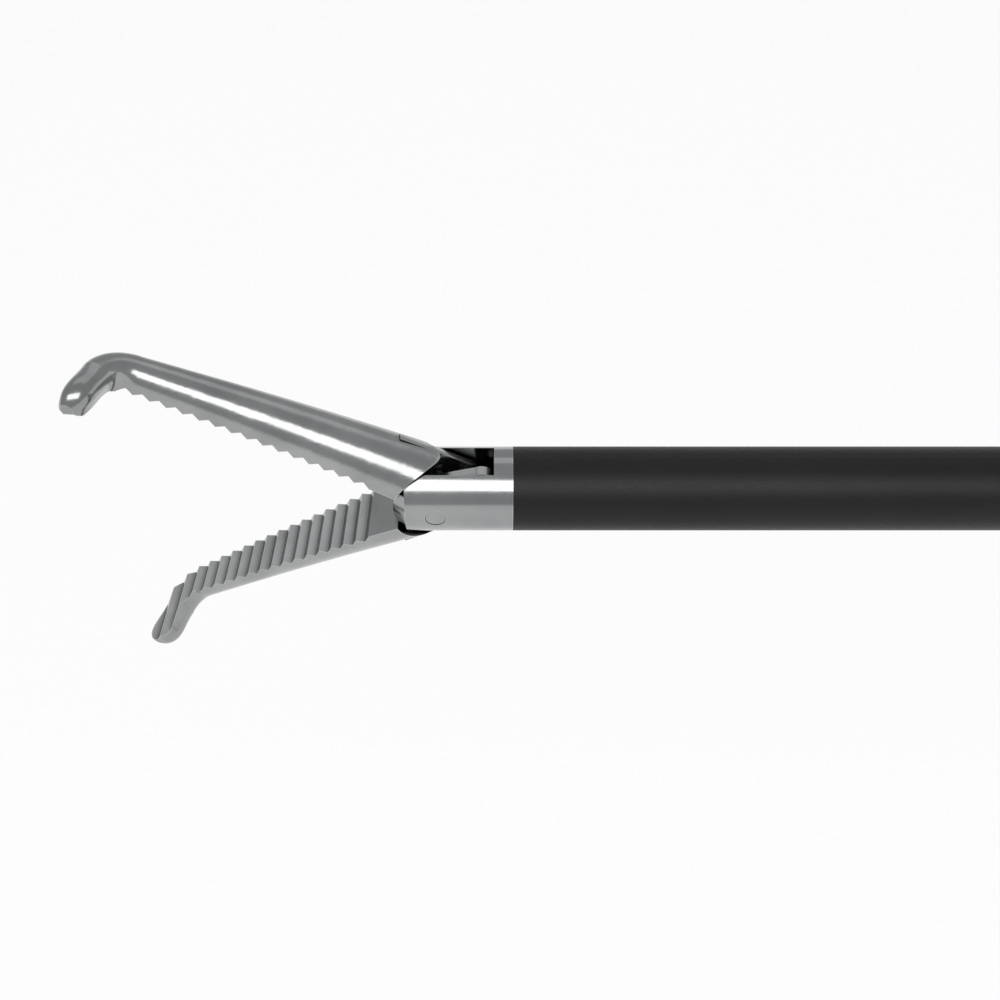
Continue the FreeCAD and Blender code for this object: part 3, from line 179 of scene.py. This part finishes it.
finishes = {
    "jaw_steel": makeFinish("groundStainless", groundSteel),
    "shaft_steel": makeFinish("turnedStainless", turnedSteel),
    "small_steel": makeFinish("nickelledSteel", nickelled),
    "sleeve_black": makeFinish("heatShrinkSleeve", shrinkSleeve),
    "handle_plastic": makeFinish("mouldedGlassNylon", glassNylon),
    "knob_plastic": makeFinish("mouldedKnobNylon", knobNylon),
    "bush_plastic": makeFinish("turnedAcetal", naturalAcetal),
    "seal_rubber": makeFinish("castSilicone", sealSilicone),
    "cap_rubber": makeFinish("mouldedRubber", capRubber),
    "contact_brass": makeFinish("springBronze", springBronze),
}
slotOf = {entry["node"]: entry["material_slot"] for entry in frame["record"]["subparts"]}
for nodeName, solid in frame["nodes"].items():
    # The jaws' pivot pin is ground flush with the clevis and polished with it
    finish = finishes["shaft_steel" if nodeName == "jaw_pivot_pin" else slotOf[nodeName]]
    if not solid.material_slots:
        solid.data.materials.append(finish)
    for holder in solid.material_slots:
        holder.material = finish
print("finishes on", len(frame["nodes"]), "nodes")


# Raised ribs across the knob's flutes, for grip with a wet glove
knobRibs = {"flutes": 8, "ribs": 7, "first": 0.3065, "spacing": 0.0014, "fluteRadius": 0.00394,
            "fluteCentre": 0.0146, "thickness": 0.00022, "spread": 84.0, "arcSteps": 14, "roundSteps": 8}


def buildKnobRibs(sizes):
    tree = bpy.data.node_groups.new("knobRibs", "GeometryNodeTree")
    tree.interface.new_socket("Geometry", in_out="OUTPUT", socket_type="NodeSocketGeometry")
    wanted = (("Ribs", "NodeSocketInt", sizes["ribs"]), ("Spacing", "NodeSocketFloat", sizes["spacing"]),
              ("Flutes", "NodeSocketInt", sizes["flutes"]),
              ("Thickness", "NodeSocketFloat", sizes["thickness"]))
    for label, kind, value in wanted:
        tree.interface.new_socket(label, in_out="INPUT", socket_type=kind).default_value = value
    given = addNode(tree, "NodeGroupInput").outputs
    # The rib follows the floor of the flute, so it is an arc about the flute's own centre line
    arc = addNode(tree, "GeometryNodeCurveArc", {
        "mode": "RADIUS", "Resolution": sizes["arcSteps"], "Radius": sizes["fluteRadius"],
        "Start Angle": math.radians(270 - sizes["spread"] / 2), "Sweep Angle": math.radians(sizes["spread"])})
    profile = addNode(tree, "GeometryNodeCurvePrimitiveCircle", {"Resolution": sizes["roundSteps"]},
                      {"Radius": given["Thickness"]})
    rib = addNode(tree, "GeometryNodeCurveToMesh", {"Fill Caps": True},
                  {"Curve": arc.outputs[0], "Profile Curve": profile.outputs[0]})
    # The arc is drawn in XY and stood across the shaft, its open side outwards
    stood = addNode(tree, "GeometryNodeTransform", {
        "Rotation": (math.radians(90), 0.0, math.radians(90)),
        "Translation": (0.0, 0.0, sizes["fluteCentre"])}, {"Geometry": rib.outputs[0]})
    step = addNode(tree, "ShaderNodeCombineXYZ", None, {"X": given["Spacing"]})
    row = addNode(tree, "GeometryNodeMeshLine", {"Start Location": (sizes["first"], 0.0, 0.0)},
                  {"Count": given["Ribs"], "Offset": step.outputs[0]})
    laid = addNode(tree, "GeometryNodeInstanceOnPoints", None,
                   {"Points": row.outputs[0], "Instance": stood.outputs[0]})
    spots = addNode(tree, "GeometryNodeMeshLine", {"Offset": (0.0, 0.0, 0.0)}, {"Count": given["Flutes"]})
    number = addNode(tree, "GeometryNodeInputIndex")
    turn = addNode(tree, "ShaderNodeMath", {"operation": "MULTIPLY_ADD", 1: 2 * math.pi / sizes["flutes"],
                                            2: math.pi / sizes["flutes"]}, {0: number.outputs[0]})
    about = addNode(tree, "ShaderNodeCombineXYZ", None, {"X": turn.outputs[0]})
    rings = addNode(tree, "GeometryNodeInstanceOnPoints", None,
                    {"Points": spots.outputs[0], "Instance": laid.outputs[0], "Rotation": about.outputs[0]})
    solid = addNode(tree, "GeometryNodeRealizeInstances", None, {"Geometry": rings.outputs[0]})
    coated = addNode(tree, "GeometryNodeSetMaterial", {"Material": finishes["knob_plastic"]},
                     {"Geometry": solid.outputs[0]})
    addNode(tree, "NodeGroupOutput", None, {0: coated.outputs[0]})
    return tree


carrier = bpy.data.objects.new("ribCarrier", bpy.data.meshes.new("ribCarrier"))
bpy.context.scene.collection.objects.link(carrier)
carrier.modifiers.new("ribs", "NODES").node_group = buildKnobRibs(knobRibs)
bpy.context.view_layer.update()
settled = carrier.evaluated_get(bpy.context.evaluated_depsgraph_get())
ribMesh = bpy.data.meshes.new_from_object(settled)
bpy.data.objects.remove(carrier)
knobGrip = bpy.data.objects.new("knobGripRibs", ribMesh)
bpy.context.scene.collection.objects.link(knobGrip)
for face in ribMesh.polygons:
    face.use_smooth = True
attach(knobGrip, "shaft")
print("knob ribs:", len(ribMesh.polygons), "faces")


# Hex sockets, sunk in the four screw heads on the handle's right side
screwSockets = {"cornerRadius": 0.0012, "depth": 0.0009, "sides": 6, "weld": 0.000001,
                "spots": [(0.354, -0.0084, -0.0082), (0.386, -0.0084, 0.002), (0.368, -0.0084, -0.008),
                          (0.3415, -0.0044, -0.046)]}


def buildSockets(sizes, spotHolder):
    tree = bpy.data.node_groups.new("screwSockets", "GeometryNodeTree")
    tree.interface.new_socket("Geometry", in_out="OUTPUT", socket_type="NodeSocketGeometry")
    tree.interface.new_socket("Heads", in_out="INPUT", socket_type="NodeSocketGeometry")
    for label, value in (("Corner Radius", sizes["cornerRadius"]), ("Depth", sizes["depth"])):
        tree.interface.new_socket(label, in_out="INPUT", socket_type="NodeSocketFloat").default_value = value
    given = addNode(tree, "NodeGroupInput").outputs
    # The cutter stands half out of the head, so it is twice as long as the socket is deep
    whole = addNode(tree, "ShaderNodeMath", {"operation": "MULTIPLY", 1: 2.0}, {0: given["Depth"]}).outputs[0]
    cutter = addNode(tree, "GeometryNodeMeshCylinder", {"Vertices": sizes["sides"]},
                     {"Radius": given["Corner Radius"], "Depth": whole})
    laid = addNode(tree, "GeometryNodeTransform", {"Rotation": (math.radians(90), 0.0, 0.0)},
                   {"Geometry": cutter.outputs[0]})
    places = addNode(tree, "GeometryNodeObjectInfo", {"Object": spotHolder}).outputs["Geometry"]
    cutters = addNode(tree, "GeometryNodeInstanceOnPoints", None,
                      {"Points": places, "Instance": laid.outputs[0]})
    loose = addNode(tree, "GeometryNodeRealizeInstances", None, {"Geometry": cutters.outputs[0]})
    cut = addNode(tree, "GeometryNodeMeshBoolean", {"operation": "DIFFERENCE"})
    tree.links.new(given["Heads"], cut.inputs[0])
    tree.links.new(loose.outputs[0], cut.inputs[1])
    plated = addNode(tree, "GeometryNodeSetMaterial", {"Material": finishes["small_steel"]},
                     {"Geometry": cut.outputs[0]})
    addNode(tree, "NodeGroupOutput", None, {0: plated.outputs[0]})
    return tree


spotMesh = bpy.data.meshes.new("socketSpots")
spotMesh.from_pydata(screwSockets["spots"], [], [])
spotHolder = bpy.data.objects.new("socketSpots", spotMesh)
bpy.context.scene.collection.objects.link(spotHolder)
shaped = bmesh.new()
for nodeName in ("housing_screws", "lever_pivot_screw"):
    shaped.from_mesh(frame["nodes"][nodeName].data)
bmesh.ops.remove_doubles(shaped, verts=shaped.verts, dist=screwSockets["weld"])
blankMesh = bpy.data.meshes.new("screwBlanks")
shaped.to_mesh(blankMesh)
shaped.free()
blank = bpy.data.objects.new("screwBlanks", blankMesh)
bpy.context.scene.collection.objects.link(blank)
blank.modifiers.new("sockets", "NODES").node_group = buildSockets(screwSockets, spotHolder)
bpy.context.view_layer.update()
screwMesh = bpy.data.meshes.new_from_object(blank.evaluated_get(bpy.context.evaluated_depsgraph_get()))
bpy.data.objects.remove(blank)
bpy.data.objects.remove(spotHolder)
handleScrews = bpy.data.objects.new("handleScrews", screwMesh)
bpy.context.scene.collection.objects.link(handleScrews)
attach(handleScrews, "handle")
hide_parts("housing_screws", "lever_pivot_screw")
print("screws with sockets:", len(screwMesh.polygons), "faces")


# The floor stands clear of the lowest ring
floorLook = {"height": -0.1056, "half": 9.0, "colour": "#f7f7f6", "glow": 0.88}
floorMesh = bpy.data.meshes.new("studioFloor")
reach = floorLook["half"]
level = floorLook["height"]
floorMesh.from_pydata([(-reach, -reach, level), (reach, -reach, level), (reach, reach, level),
                       (-reach, reach, level)], [], [(0, 1, 2, 3)])
studioFloor = bpy.data.objects.new("studioFloor", floorMesh)
bpy.context.scene.collection.objects.link(studioFloor)
paper = bpy.data.materials.new("paperSweep")
paper.use_nodes = True
paperTree = paper.node_tree
paperTree.nodes.clear()
rays = addNode(paperTree, "ShaderNodeLightPath").outputs
seen = addNode(paperTree, "ShaderNodeMath", {"operation": "MAXIMUM"},
               {0: rays["Is Camera Ray"], 1: rays["Is Glossy Ray"]}).outputs[0]
seen = addNode(paperTree, "ShaderNodeMath", {"operation": "MAXIMUM"},
               {0: seen, 1: rays["Is Transmission Ray"]}).outputs[0]
share = addNode(paperTree, "ShaderNodeMath", {"operation": "MULTIPLY", 1: floorLook["glow"]},
                {0: seen}).outputs[0]
matt = addNode(paperTree, "ShaderNodeBsdfDiffuse", {"Color": toLinear(floorLook["colour"])}).outputs[0]
glow = addNode(paperTree, "ShaderNodeEmission", {"Strength": 1.0}).outputs[0]
both = addNode(paperTree, "ShaderNodeMixShader", None, {0: share, 1: matt, 2: glow}).outputs[0]
addNode(paperTree, "ShaderNodeOutputMaterial", None, {"Surface": both})
floorMesh.materials.append(paper)

# The room is one mid grey, so the metal has something darker than the floor to show
roomLook = {"colour": "#bcbdbe", "strength": 1.0}
room = bpy.data.worlds.new("studioRoom")
bpy.context.scene.world = room
room.use_nodes = True
roomTree = room.node_tree
roomTree.nodes.clear()
air = addNode(roomTree, "ShaderNodeBackground", {"Strength": roomLook["strength"],
                                                 "Color": toLinear(roomLook["colour"])}).outputs[0]
addNode(roomTree, "ShaderNodeOutputWorld", None, {"Surface": air})

# One softbox over the camera gives the long highlight on the steel, a weaker one fills from behind
lamps = {
    "overCamera": {"elevation": 52.0, "side": -90.0, "distance": 0.6, "wide": 0.9, "tall": 0.31,
                   "watts": 2.7},
    "fromBehind": {"elevation": 50.0, "side": 90.0, "distance": 0.8, "wide": 0.9, "tall": 0.35,
                   "watts": 0.35},
}
for lampName, lamp in lamps.items():
    light = bpy.data.lights.new(lampName, "AREA")
    light.shape = "RECTANGLE"
    light.size = lamp["wide"]
    light.size_y = lamp["tall"]
    light.energy = lamp["watts"]
    holder = bpy.data.objects.new(lampName, light)
    bpy.context.scene.collection.objects.link(holder)
    up = math.radians(lamp["elevation"])
    around = math.radians(lamp["side"])
    toward = Vector((math.cos(up) * math.cos(around), math.cos(up) * math.sin(around), math.sin(up)))
    holder.location = toward * lamp["distance"]
    holder.rotation_euler = toward.to_track_quat("Z", "Y").to_euler()
    holder.visible_camera = False
print("stage and lamps ready")

# The camera looks down on the jaws from the -Y side, square to the shaft
photoView = {"elevation": 45.7, "distance": 0.060, "along": -0.00076, "lift": 11.5, "pixelsPerMm": 16.8,
             "frame": 1000, "sensor": 36.0, "near": 0.001, "far": 30.0}
tilt = math.radians(photoView["elevation"])
drop = photoView["lift"] / photoView["pixelsPerMm"] / mmInMetre
camera = bpy.data.objects.new("photoCamera", bpy.data.cameras.new("photoCamera"))
bpy.context.scene.collection.objects.link(camera)
camera.location = (photoView["along"],
                   -drop * math.sin(tilt) - photoView["distance"] * math.cos(tilt),
                   -drop * math.cos(tilt) + photoView["distance"] * math.sin(tilt))
camera.rotation_euler = (math.pi / 2 - tilt, 0.0, 0.0)
camera.data.sensor_width = photoView["sensor"]
camera.data.lens = (photoView["pixelsPerMm"] * photoView["distance"] * mmInMetre / photoView["frame"]
                    * photoView["sensor"])
camera.data.clip_start = photoView["near"]
camera.data.clip_end = photoView["far"]
bpy.context.scene.camera = camera
bpy.context.scene.view_settings.view_transform = "Standard"
